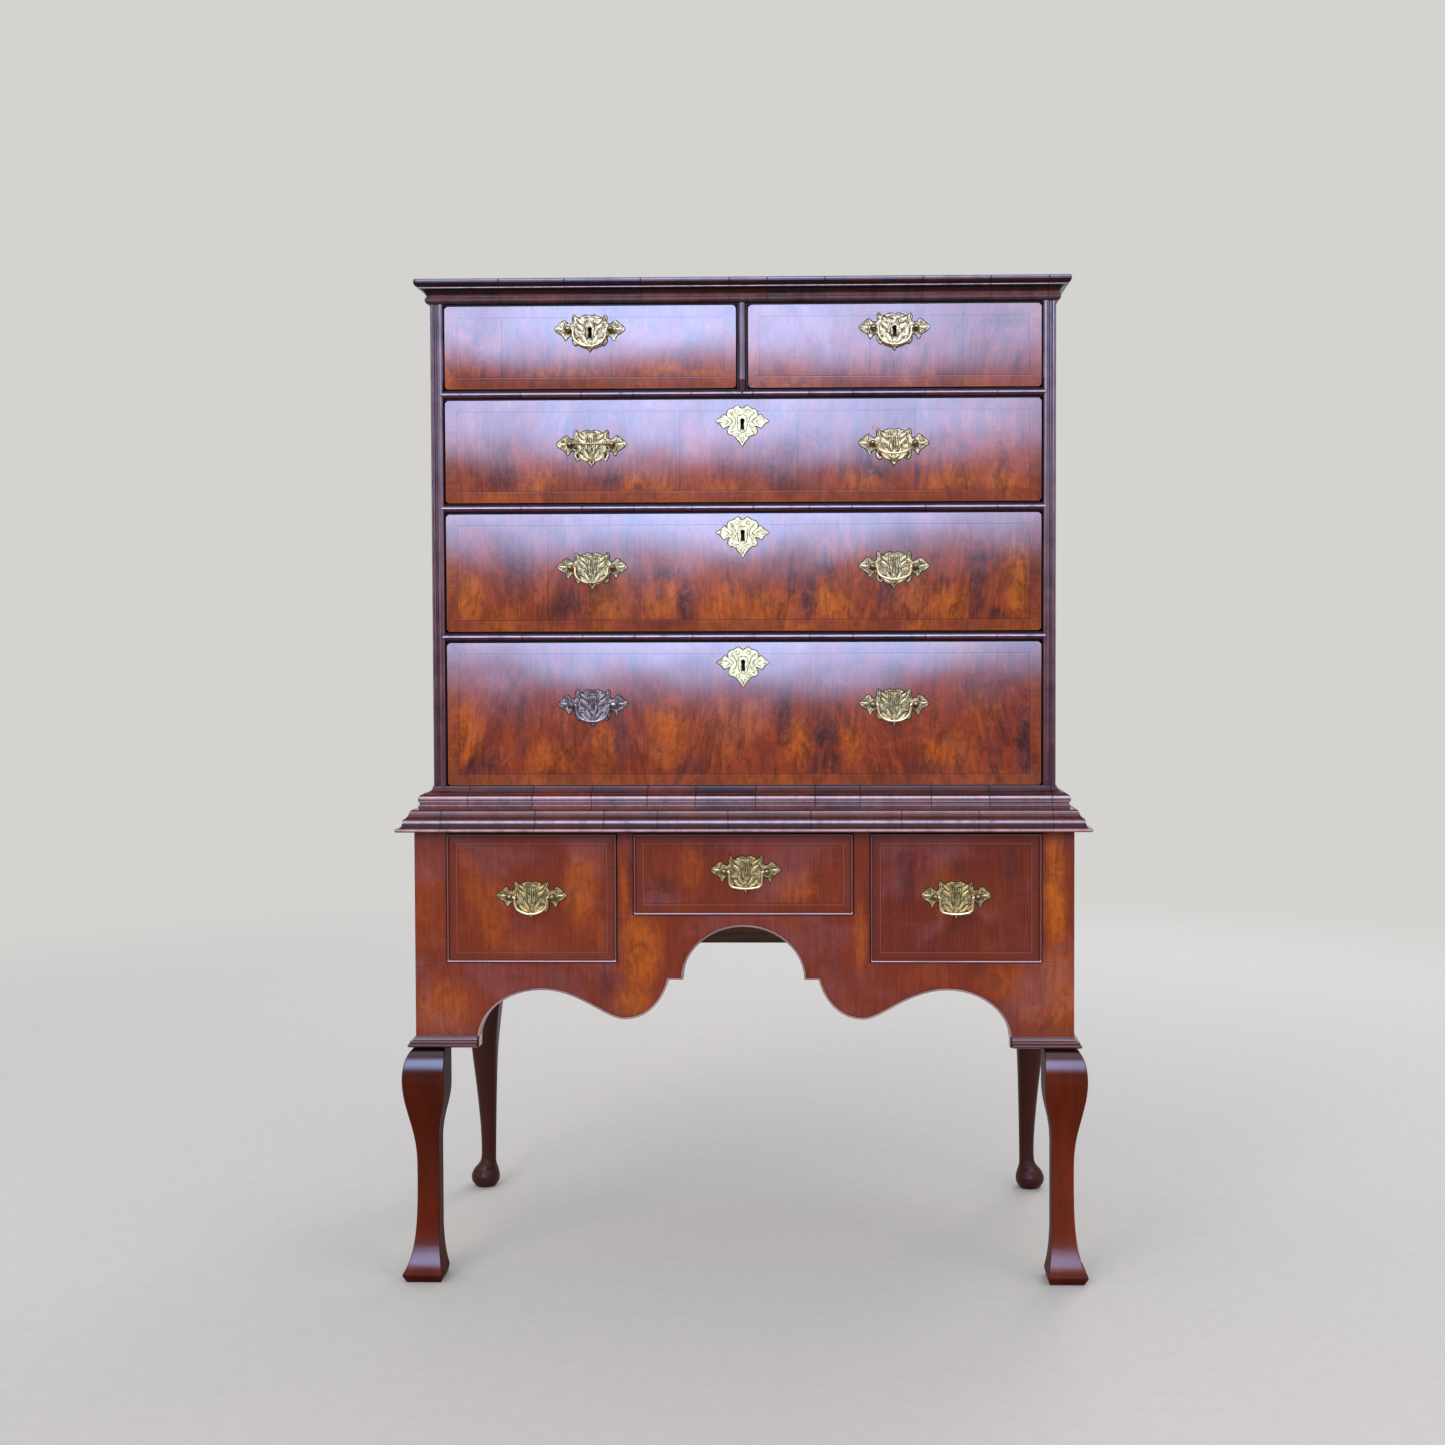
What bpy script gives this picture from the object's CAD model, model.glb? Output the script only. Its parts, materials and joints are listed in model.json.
"""Walnut chest on stand: materials, engraving, floor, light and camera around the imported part."""
import bmesh
import bpy
import json
import math
from functools import partialmethod
from mathutils import Matrix, Vector


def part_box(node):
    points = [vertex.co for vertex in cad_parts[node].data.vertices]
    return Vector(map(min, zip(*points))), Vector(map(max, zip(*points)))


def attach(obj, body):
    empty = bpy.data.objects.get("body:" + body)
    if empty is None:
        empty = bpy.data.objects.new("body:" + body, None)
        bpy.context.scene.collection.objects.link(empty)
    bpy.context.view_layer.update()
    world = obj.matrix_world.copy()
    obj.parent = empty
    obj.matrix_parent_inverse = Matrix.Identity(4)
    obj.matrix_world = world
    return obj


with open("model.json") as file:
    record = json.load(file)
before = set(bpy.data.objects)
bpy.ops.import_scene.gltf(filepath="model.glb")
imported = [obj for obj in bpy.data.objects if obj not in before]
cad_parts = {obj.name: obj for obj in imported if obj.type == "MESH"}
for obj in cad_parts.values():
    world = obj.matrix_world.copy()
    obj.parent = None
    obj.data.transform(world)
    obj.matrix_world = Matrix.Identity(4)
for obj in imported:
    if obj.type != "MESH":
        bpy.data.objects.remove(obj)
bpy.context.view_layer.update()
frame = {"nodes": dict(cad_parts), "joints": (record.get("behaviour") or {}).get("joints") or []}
nodes = frame["nodes"]

UPPER = ["top_left", "top_right", "second", "third", "bottom"]
LOWER = ["stand_left", "stand_centre", "stand_right"]


def set_all(thing, **settings):
    for name, value in settings.items():
        setattr(thing, name, value)


def add_object(name, data):
    obj = bpy.data.objects.new(name, data)
    bpy.context.collection.objects.link(obj)
    return obj


# ---- Camera ----

camera_data = bpy.data.cameras.new("camera")
set_all(camera_data, sensor_fit="HORIZONTAL", sensor_width=36.0, lens=46.81, shift_x=-0.0434,
        shift_y=-0.0204, clip_end=200.0)
camera = add_object("camera", camera_data)
camera.matrix_world = (
    Matrix.Translation((0.1276, -3.0638, 0.9729))
    @ Matrix.Rotation(0.02257, 4, "Z")
    @ Matrix.Rotation(math.pi/2 - 0.0293, 4, "X")
    @ Matrix.Rotation(-0.00302, 4, "Z")
)
bpy.context.scene.camera = camera
bpy.context.scene.view_settings.view_transform = "Standard"


# ---- Expressions that build node trees ----

def new_node(tree, kind, settings=(), **values):
    """Adds a node. The names of its sockets have _ in place of a space."""
    node = tree.nodes.new(kind)
    set_all(node, **dict(settings))
    for name, value in values.items():
        put(node.inputs[name.replace("_", " ")], value)
    return node


class Value:
    """A socket of a node tree that can be used in arithmetic."""

    def __init__(self, tree, socket):
        self.tree = tree
        self.socket = socket

    def math(self, operation, *others):
        node = new_node(self.tree, "ShaderNodeMath", {"operation": operation})
        for socket, value in zip(node.inputs, (self,) + others):
            put(socket, value)
        return Value(self.tree, node.outputs[0])

    def rsub(self, number):
        """The number less the value."""
        return self*-1.0 + number

    __add__ = __radd__ = partialmethod(math, "ADD")
    __sub__ = partialmethod(math, "SUBTRACT")
    __mul__ = __rmul__ = partialmethod(math, "MULTIPLY")
    __truediv__ = partialmethod(math, "DIVIDE")
    abs = partialmethod(math, "ABSOLUTE")
    low = partialmethod(math, "MINIMUM")
    high = partialmethod(math, "MAXIMUM")
    # 1 where the value is above the other, and 0 elsewhere
    above = partialmethod(math, "GREATER_THAN")

    def ramp(self, start, end, low=0.0, high=1.0):
        """Runs smoothly from low to high as the value goes from start to end."""
        node = new_node(self.tree, "ShaderNodeMapRange", {"interpolation_type": "SMOOTHSTEP"},
                        Value=self, From_Min=start, From_Max=end, To_Min=low, To_Max=high)
        return Value(self.tree, node.outputs["Result"])

    def near(self, middle, outer, inner):
        """1 within inner of the middle, falling smoothly to 0 at outer."""
        return (self - middle).abs().ramp(outer, inner)


def put(socket, value):
    """Links a Value to a socket, or sets a number, a vector or a colour on it."""
    if isinstance(value, Value):
        socket.node.id_data.links.new(value.socket, socket)
    elif hasattr(value, "__len__") and socket.type == "RGBA":
        socket.default_value = (*value[:3], 1.0)
    else:
        socket.default_value = value


class Shader:
    """One node tree, with the position on the object at rest in metres."""

    def __init__(self, name):
        self.material = bpy.data.materials.new(name)
        self.material.use_nodes = True
        self.tree = self.material.node_tree
        self.bsdf = self.tree.nodes["Principled BSDF"]
        self.colour = None
        self.place = self.output("ShaderNodeTexCoord", "Object")
        self.x, self.y, self.z = self.parts(self.place)

    def node(self, kind, settings=(), **values):
        return new_node(self.tree, kind, settings, **values)

    def output(self, kind, out, settings=(), **values):
        return Value(self.tree, self.node(kind, settings, **values).outputs[out])

    def parts(self, vector):
        node = self.node("ShaderNodeSeparateXYZ", Vector=vector)
        return [Value(self.tree, o) for o in node.outputs]

    def facing(self):
        """x, y and z of the surface's normal."""
        return self.parts(self.output("ShaderNodeNewGeometry", "Normal"))

    def axes(self, along):
        """The two places across the grain, and the place along it."""
        return {"z": (self.x, self.y, self.z), "x": (self.z, self.y, self.x),
                "y": (self.x, self.z, self.y)}[along]

    def vector(self, x, y, z):
        return self.output("ShaderNodeCombineXYZ", "Vector", X=x, Y=y, Z=z)

    def vector_math(self, operation, *vectors, out="Vector"):
        node = self.node("ShaderNodeVectorMath", {"operation": operation})
        for socket, vector in zip(node.inputs, vectors):
            put(socket, vector)
        return Value(self.tree, node.outputs[out])

    def length(self, vector):
        return self.vector_math("LENGTH", vector, out="Value")

    def noise(self, vector, detail=2.0, rough=0.5, distortion=0.0):
        return self.output("ShaderNodeTexNoise", "Fac", Vector=vector, Scale=1.0,
                           Detail=detail, Roughness=rough, Distortion=distortion)

    def grain(self, x, y, z, *settings):
        """Noise at a place worked out from the surface's own."""
        return self.noise(self.vector(x, y, z), *settings)

    def fleck(self, x, y, z, *settings):
        """Noise with so many flecks in a metre along each axis."""
        return self.noise(self.vector_math("MULTIPLY", self.place, (x, y, z)), *settings)

    def cells(self, w, scale, out="Color", feature="F1"):
        """A random colour for each piece of uneven length along w."""
        settings = {"voronoi_dimensions": "1D", "feature": feature}
        return self.output("ShaderNodeTexVoronoi", out, settings, W=w, Scale=scale)

    def tones(self, w, scale):
        """A random number for each piece along w."""
        return self.output("ShaderNodeSeparateColor", 0, Color=self.cells(w, scale))

    def ends(self, w, scale):
        """How far it is to the end of such a piece, on w times scale."""
        return self.cells(w, scale, "Distance", "DISTANCE_TO_EDGE")

    def mix(self, factor, a, b, kind="RGBA", first=6, out=2):
        """Colour between a and b. first is the number of a's socket, out of the result's."""
        node = self.node("ShaderNodeMix", {"data_type": kind}, Factor=factor)
        put(node.inputs[first], a)
        put(node.inputs[first + 1], b)
        return Value(self.tree, node.outputs[out])

    def blend(self, factor, a, b):
        """Number between a and b."""
        return self.mix(factor, a, b, "FLOAT", 2, 0)

    def shade(self, colour, amount):
        """Colour times a number."""
        node = self.node("ShaderNodeVectorMath", {"operation": "SCALE"}, Scale=amount)
        put(node.inputs[0], colour)
        return Value(self.tree, node.outputs[0])

    def paint(self, factor, colour):
        """Lays a colour over what is there."""
        self.colour = self.mix(factor, self.colour, colour)

    def dim(self, amount):
        """Multiplies the colour that is there."""
        self.colour = self.shade(self.colour, amount)

    def patch(self, vector, place, size):
        """1 in the middle of an ellipsoid, falling smoothly to 0 at its surface."""
        away = self.vector_math("MULTIPLY_ADD", vector, [1/s for s in size],
                                [-p/s for p, s in zip(place, size)])
        return self.length(away).ramp(1.0, 0.25)

    def bump(self, *heights, base=None):
        """Normal of the sum of heights, each in metres, on the surface's own normal or base."""
        start = {"Normal": base} if base else {}
        return self.output("ShaderNodeBump", "Normal", Height=sum(heights[1:], heights[0]),
                           Strength=1.0, Distance=1.0, **start)

    def tilted(self, up):
        """The surface's normal, tilted upwards by a number."""
        normal = self.output("ShaderNodeNewGeometry", "Normal")
        return self.vector_math("NORMALIZE",
                                self.vector_math("ADD", normal, self.vector(0.0, 0.0, up)))

    def finish(self, roughness, normal=None, coat=0.0, coat_rough=0.15, coat_ior=1.6,
               metal=0.0, specular=0.5, coat_normal=None):
        values = {"Base Color": self.colour, "Roughness": roughness, "Metallic": metal,
                  "Specular IOR Level": specular, "Coat Weight": coat,
                  "Coat Roughness": coat_rough, "Coat IOR": coat_ior}
        if normal:
            values.update({"Normal": normal, "Coat Normal": coat_normal or normal})
        for name, value in values.items():
            put(self.bsdf.inputs[name], value)
        return self.material


def soften(name, width, segments=2, angle=35):
    """Rounds a CAD node's sharp edges a little with modifiers, and keeps its mesh."""
    def add(label, kind, **settings):
        set_all(nodes[name].modifiers.new(label, kind), **settings)

    add("weld", "WELD", merge_threshold=0.00001)
    add("flat", "DECIMATE", decimate_type="DISSOLVE", angle_limit=math.radians(0.5))
    add("bevel", "BEVEL", width=width, segments=segments, limit_method="ANGLE",
        angle_limit=math.radians(angle))
    add("shade", "WEIGHTED_NORMAL", keep_sharp=True)


def assign(name, material, *edges):
    """Gives a CAD node its only material, and softens its edges if it has soften()'s settings."""
    mesh = nodes[name].data
    mesh.materials.clear()
    mesh.materials.append(material)
    if edges:
        soften(name, *edges)


def smooth_faces(obj):
    for polygon in obj.data.polygons:
        polygon.use_smooth = True


# ---- Wood colours ----

RED = (0.25, 0.046, 0.014)
ORANGE = (0.4, 0.098, 0.008)
DARK = (0.062, 0.021, 0.026)
PURPLE_BLOOM = (0.205, 0.078, 0.082)
BAND = (0.285, 0.06, 0.017)
BAND_DARK = (0.185, 0.034, 0.022)
LINE = (0.06, 0.018, 0.012)
SCRATCH = (0.48, 0.29, 0.22)
WORN_EDGE = (0.32, 0.1, 0.05)
ARRIS = (0.012, 0.004, 0.004)
BARE_WOOD = (0.17, 0.085, 0.04)
STAND = (0.16, 0.024, 0.007)
STAND_DARKER = (0.13, 0.019, 0.007)
STAND_PALE = (0.43, 0.096, 0.004)
STAND_SMOKE = (0.07, 0.016, 0.014)
STAND_BLOOM = (0.215, 0.075, 0.08)
STAND_BAND = (0.13, 0.024, 0.012)
STAND_LINE = (0.4, 0.14, 0.07)
STAND_SCRATCH = (0.42, 0.24, 0.18)
COCK_BEAD = (0.105, 0.022, 0.014)
RUBBED_BEAD = (0.85, 0.55, 0.58)
OPEN_JOINT = (0.006, 0.002, 0.002)
CHIP = (0.01, 0.004, 0.005)
RUBBED = (0.48, 0.27, 0.27)
RUBBED_TRIM = (0.56, 0.35, 0.34)
BEAD_CREST = (0.5, 0.38, 0.5)
BEAD_BLOOM = (0.19, 0.095, 0.12)
DARK_WALNUT = (0.03, 0.01, 0.007)
LEG = (0.088, 0.011, 0.003)
OAK = (0.42, 0.27, 0.13)
OAK_JOINT = (0.012, 0.008, 0.005)


def panel(s, box):
    """Measures of a front: its middle x and z, half width and half height, each point's place
    from the middle, how far in it is from the nearest edge, and how much nearer it is to an
    upright edge than to a level one."""
    low, high = box
    cx, cz = (low.x + high.x)/2, (low.z + high.z)/2
    hw, hh = (high.x - low.x)/2, (high.z - low.z)/2
    u, v = s.x - cx, s.z - cz
    dx, dz = u.abs().rsub(hw), v.abs().rsub(hh)
    return cx, cz, hw, hh, u, v, dx.low(dz), dz - dx


def hundredths(patches):
    return [[n/100 for n in patch] for patch in patches]


def zones(s, warped, spots, mottle, pale, dark):
    """Adds spots to the pale and dark zones of a veneer, and breaks both up with mottling.

    spots are (x, z, half width, half height, strength), pale where the strength is above 0 and
    dark where it is below."""
    spread = 1.3
    for x, z, half_width, half_height, strength in spots:
        spot = s.patch(warped, (x, 0.0, z), (half_width*spread, 1.0, half_height*spread))
        if strength > 0:
            pale = pale.high(spot*strength)
        else:
            dark = dark.high(spot*-strength)
    return (pale*(mottle.ramp(0.3, 0.66)*0.6 + 0.45),
            dark*(mottle.ramp(0.66, 0.34)*0.6 + 0.5))


def bare_behind(s, box, depth, fibre):
    """Bares the wood of a front behind a depth, and gives 1 there and 0 in front."""
    behind = s.y.ramp(box[0].y + depth, box[0].y + depth + 0.002)
    s.paint(behind, s.shade(BARE_WOOD, fibre*0.6 + 0.7))
    return behind


def drawer_veneer(name, box, joints, patches, lean, crown, seed, gloss=1.0, sag=0.0, twist=0.0,
                  tone=(1.0, 1.0, 1.0), bloomy=0.5):
    """Figured walnut with upright grain, veneer joints, and a crossbanded, lined border.

    joints are the places of the joints between leaves, from -1 at the left to 1 at the right.
    patches are spots as in zones(), in hundredths of the front's half width and height. crown,
    lean, sag and twist shape the polish, which mirrors the sky. tone is a factor on the wood's
    colours, and bloomy is how much purple haze lies on them."""
    s = Shader(name)
    red, orange = ([c*k for c, k in zip(wood, tone)] for wood in (RED, ORANGE))
    cx, cz, hw, hh, u, v, edge, upright = panel(s, box)
    upright_band = upright.ramp(-0.0005, 0.0005)
    field = edge.ramp(0.0165, 0.0175)

    # Grain, mottling and clouds, upright in the field and across the crossbanding
    wave = s.fleck(7, 1, 3, 1.5, 0.4)
    ruffle = s.fleck(26, 1, 12, 1)
    feather = s.grain(s.x*130 + wave*6, seed + 1, s.z*5, 3, 0.6)
    turned = upright_band*(field.rsub(1.0))
    bend = ((wave - 0.5)*0.05 + (ruffle - 0.5)*0.002)*(turned*-0.8 + 1.0)
    across, along = s.blend(turned, s.x, s.z), s.blend(turned, s.z, s.x)
    fibre = s.grain(across*520 + bend*900, seed, along*24, 4, 0.7)
    broad = s.grain(across*190 + bend*330, seed + 3, along*10, 3, 0.65)
    mottle = s.grain((s.x + bend)*75, seed + 7, s.z*48, 4, 0.7, 1.2)
    cloud = s.grain((s.x + bend)*11, seed + 11, s.z*6.5, 3, 0.6, 0.8)
    swirl = s.grain(s.x*19 + wave*4, seed + 21, s.z*9 + ruffle*2, 4, 0.6, 1.4)
    haze = s.grain(s.x*7, seed + 23, s.z*10 + wave*2, 4, 0.6, 0.5)

    # Pale and dark zones, leaf joints and the crossbanding
    drift = (ruffle - 0.5)*0.035 + (feather - 0.5)*0.07
    warped = s.vector(s.x + bend*0.9, 0.0, s.z + drift)
    spots = [(cx + pu*hw, cz + pv*hh, ru*hw, rv*hh, strength)
             for pu, pv, ru, rv, strength in hundredths(patches)]
    pale, dark = zones(s, warped, spots, mottle,
                       cloud.ramp(0.5, 0.78)*0.5, cloud.ramp(0.47, 0.2)*0.7)
    s.colour = s.mix(pale*field, red, orange)
    s.paint((dark*field).low(0.93), DARK)
    bloom = haze.ramp(0.46, 0.7)*v.ramp(-0.9*hh, 0.1*hh, 0.25, 1.0)*field*bloomy
    s.paint(bloom, PURPLE_BLOOM)
    for i, joint in enumerate(joints):
        beyond = s.x.ramp(cx + joint*hw - 0.0002, cx + joint*hw + 0.0002)*field
        s.dim(beyond*(0.13 if i % 2 else -0.11) + 1.0)
    band_piece = s.tones(s.blend(upright_band, s.x, s.z) + seed*0.37, 9)
    band = s.mix(haze.ramp(0.35, 0.6)*0.55, BAND, BAND_DARK)
    band = s.mix(cloud.ramp(0.48, 0.62)*mottle.ramp(0.3, 0.6)*0.55, band, orange)
    s.colour = s.mix(field, s.shade(band, band_piece*0.26 + 0.78), s.colour)
    streak = fibre.ramp(0.3, 0.7)*0.46 + broad.ramp(0.28, 0.72)*0.24
    figure = mottle.ramp(0.3, 0.72)*0.42 + swirl.ramp(0.36, 0.62)*0.46
    calm = field*0.25 + 0.75
    top_shade = v.ramp(-0.2*hh, hh, 1.0, 0.74)
    s.dim(((streak + figure - 0.8)*calm + 1.0)*top_shade)

    # The two lines of the border, joints, pores, knocks, cracks, scratches and worn edges
    line = edge.near(0.0172, 0.0009, 0.0004)*0.7
    line = line.high(edge.near(0.0122, 0.0006, 0.0003)*0.25)
    mitre = upright.abs().ramp(0.0009, 0.0003)*field.rsub(1.0)*0.45
    line = line.high(mitre)
    for joint in joints:
        line = line.high(s.x.near(cx + joint*hw, 0.001, 0.0003)*field*0.8)
    pores = s.grain(across*1600, seed + 5, along*120, 1).ramp(0.66, 0.76)*0.55
    knocks = s.grain(s.x*170, seed + 9, s.z*140, 2).ramp(0.7, 0.75)*0.7
    crack = s.grain(s.x*900, seed + 13, s.z*18, 1).ramp(0.8, 0.84)
    crack = crack*cloud.ramp(0.45, 0.6)*0.6
    scuff = s.grain(s.x*28, seed + 17, s.z*760 + s.x*90, 1).ramp(0.77, 0.81)
    scuff = scuff*s.fleck(9, 1, 9, 2).ramp(0.5, 0.62)
    speck = s.grain(s.x*430, seed + 19, s.z*430, 1).ramp(0.785, 0.83)
    worn = edge.ramp(0.0026, 0.0006)*0.35
    s.paint(line.high(pores).high(knocks).high(crack), LINE)
    s.paint(scuff.high(speck)*0.6, SCRATCH)
    s.paint(worn, WORN_EDGE)
    s.paint(edge.ramp(0.0009, 0.0002)*0.8, ARRIS)
    behind = bare_behind(s, box, 0.004, fibre)

    # The polish, which bows the mirrored sky
    ripple = s.grain(s.x*70, seed, s.z*16, 2)
    dents = s.grain(s.x*38, seed + 2, s.z*34, 1)
    warp = s.grain(s.x*7, seed + 4, s.z*9, 1)
    across_front = u/hw
    droop = across_front*across_front*sag + across_front*twist - lean
    side_crown = 0.03
    form = v*v*(-0.5*crown/hh) + v*droop - u*u*(0.5*side_crown/hw) + warp*0.0015
    normal = s.bump(form, ripple*0.00006, dents*0.00005, fibre*0.000014, line*-0.00006)
    coat_normal = s.bump(form, ripple*0.00006, dents*0.00005, line*-0.00005)
    rough = fibre*0.12 + dents*0.1 + 0.24
    polish = fibre.ramp(0.15, 0.6)*0.07 + cloud.ramp(0.2, 0.8)*0.25 + gloss - 0.2
    coat = polish.low(1.0)*(knocks*-0.6 + 1.0)*behind.rsub(1.0)
    return s.finish(rough, normal, coat, 0.17, 1.75, specular=0.1, coat_normal=coat_normal)


def stand_veneer(name, box, patches, seed, base=STAND, lined=False):
    """Plainer upright walnut of the stand, warm red with golden and smoky zones.

    patches are spots as in zones(), in centimetres and hundredths. A lined front has a band and
    a line inside its cock bead."""
    s = Shader(name)
    _, _, _, hh, _, v, edge, upright = panel(s, box)
    wave = s.fleck(9, 9, 3, 3, 0.6)
    bend = (wave - 0.5)*0.02
    across, along = s.x + s.y, s.z
    if lined:
        in_band = edge.ramp(0.015, 0.0145)
        turned = upright.ramp(-0.0005, 0.0005)*in_band
        across = s.blend(turned, s.x, s.z) + s.y
        along = s.blend(turned, s.z, s.x)
    fibre = s.grain(across*460 + bend*400, seed, along*18, 4, 0.7)
    broad = s.grain(across*120 + bend*100, seed + 3, along*6, 3, 0.6)
    cloud = s.grain(across*9, seed + 5, along*5, 3, 0.6, 0.6)
    mottle = s.grain(across*60, seed + 7, along*38, 4, 0.7, 1.0)
    feather = s.grain((s.x + s.y)*110, seed + 1, s.z*5, 3, 0.6)
    warped = s.vector(s.x + bend, 0.0, s.z + bend + (feather - 0.5)*0.025)
    pale, dark = zones(s, warped, hundredths(patches), mottle,
                       cloud.ramp(0.52, 0.75)*0.25, cloud.ramp(0.48, 0.24)*0.5)
    s.colour = s.mix(pale, base, STAND_PALE)
    s.paint(dark, STAND_SMOKE)
    haze = s.grain(across*6 + wave, seed + 11, along*8, 4, 0.6, 0.5)
    s.paint(haze.ramp(0.47, 0.66)*0.36, STAND_BLOOM)
    streak = fibre.ramp(0.3, 0.7)*0.38 + broad.ramp(0.28, 0.72)*0.18
    s.dim(streak + mottle*0.52 + 0.46)
    pores = s.grain(across*1400, seed + 5, along*90, 1).ramp(0.7, 0.78)*0.45
    mark = pores
    if lined:
        s.paint(in_band*0.4, STAND_BAND)
        mark = mark.high(edge.near(0.0165, 0.0009, 0.0004)*0.7)
        pale_line = edge.near(0.015, 0.0008, 0.0004)*0.5
        s.paint(pale_line*0.6, STAND_LINE)
        mark = mark.high(edge.near(0.0037, 0.0009, 0.0004)*0.8)
        bead = edge.ramp(0.0032, 0.0028)
        s.paint(bead, COCK_BEAD)
        s.paint(edge.ramp(0.0008, 0.0003)*0.8, ARRIS)
        lower = (v*-1.0 - hh).ramp(-0.0045, -0.0035)
        rubbed = edge.near(0.0017, 0.0009, 0.0004)*(lower*0.7 + 0.12)
        s.paint(rubbed*(cloud.ramp(0.2, 0.6)*0.4 + 0.6), RUBBED_BEAD)
    s.paint(mark, LINE)
    speck = s.fleck(400, 400, 400, 1).ramp(0.785, 0.83)
    s.paint(speck*0.45, STAND_SCRATCH)
    coat = 0.8
    if lined:
        coat = bare_behind(s, box, 0.012, fibre)*-coat + coat
    ripple = s.grain(across*60, seed, along*14, 2)
    dents = s.fleck(30, 30, 26, 1)
    normal = s.bump(ripple*0.00005, dents*0.00004, fibre*0.00001)
    return s.finish(fibre*0.12 + dents*0.1 + 0.26, normal, coat, 0.18, 1.5, specular=0.1)


def cross_grain(name, box, pieces, seed, tones, rows=(), coat=1.0, beads=False):
    """Moulding veneered in short cross-grain pieces, each a little different, with open joints.

    pieces is how many there are in a metre. rows are (upper, lower, shade, gloss, worn, lift):
    between two heights in millimetres below the top, factors on colour and polish, how pale the
    wood is rubbed, and an upward tilt of the polish. beads have dark sides and pale crests."""
    s = Shader(name)
    low, high = box
    half = (high.x - low.x)/2
    on_return = (s.x.abs() - half - s.y.rsub(low.y)).above(0.0)
    wander = s.fleck(14, 14, 60, 2)*0.004
    run = s.blend(on_return, s.x, s.y + s.x*3.0) + wander + seed
    tone = s.tones(run, pieces)
    joint = s.ends(run, pieces)/pieces
    joint = joint.ramp(0.0011, 0.0004)
    fine = s.grain(run*430, seed, s.z*55, 4, 0.7)
    soft = s.grain(run*48, seed + 2, s.z*26, 3, 0.65)
    rosy = s.grain(run*22, seed + 5, s.z*90, 3, 0.7)
    s.colour = s.mix(tone*0.55 + rosy.ramp(0.4, 0.66)*0.45, tones[0], tones[1])
    s.dim(fine.ramp(0.25, 0.75)*0.4 + soft*0.8 + 0.38)
    s.paint(joint*0.9, OPEN_JOINT)
    chip = s.grain(run*160, seed + 7, s.z*160, 2).ramp(0.7, 0.76)*0.6
    facing = s.facing()
    turned = facing[1].abs().ramp(0.78, 0.5) if beads else facing[2].ramp(-0.2, -0.7)
    chip = chip.high(turned*0.85)
    s.paint(chip, CHIP)
    polish = soft.ramp(0.2, 0.6)*0.25 + 0.75
    if beads:
        upright = s.x.abs().above(high.x - 0.018).high(s.z.above(high.z - 0.115))
        crest = facing[2].ramp(0.08, 0.2)*facing[2].ramp(0.5, 0.38)
        crest = crest*(soft.ramp(0.3, 0.5)*0.4 + 0.6)
        polish = (polish*upright*2.0).high(crest*2.2)
        s.paint(crest*0.4, BEAD_CREST)
        s.paint(upright*soft.ramp(0.2, 0.7)*0.36, BEAD_BLOOM)
    lift = 0.0
    for upper, lower, darker, gloss, worn, tilt in rows:
        middle, reach = high.z - (upper + lower)/2000, (lower - upper)/2000
        row = s.z.near(middle, reach + 0.0005, reach - 0.0005)
        s.dim(row*(darker - 1) + 1.0)
        if worn:
            s.paint(row*soft.ramp(0.1, 0.7)*worn, RUBBED)
        polish = polish*(row*(gloss - 1) + 1.0)
        if tilt:
            lift = row*tilt + lift
    base = s.tilted(lift) if rows else None
    normal = s.bump(joint*-0.00025, fine*0.000006, soft*0.00004, chip*-0.00005, base=base)
    coat = (polish*coat*(joint.high(turned)*-0.8 + 1.0)).low(1.0)
    return s.finish(fine*0.1 + 0.24, normal, coat, 0.05, 1.8, specular=0.1)


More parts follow.
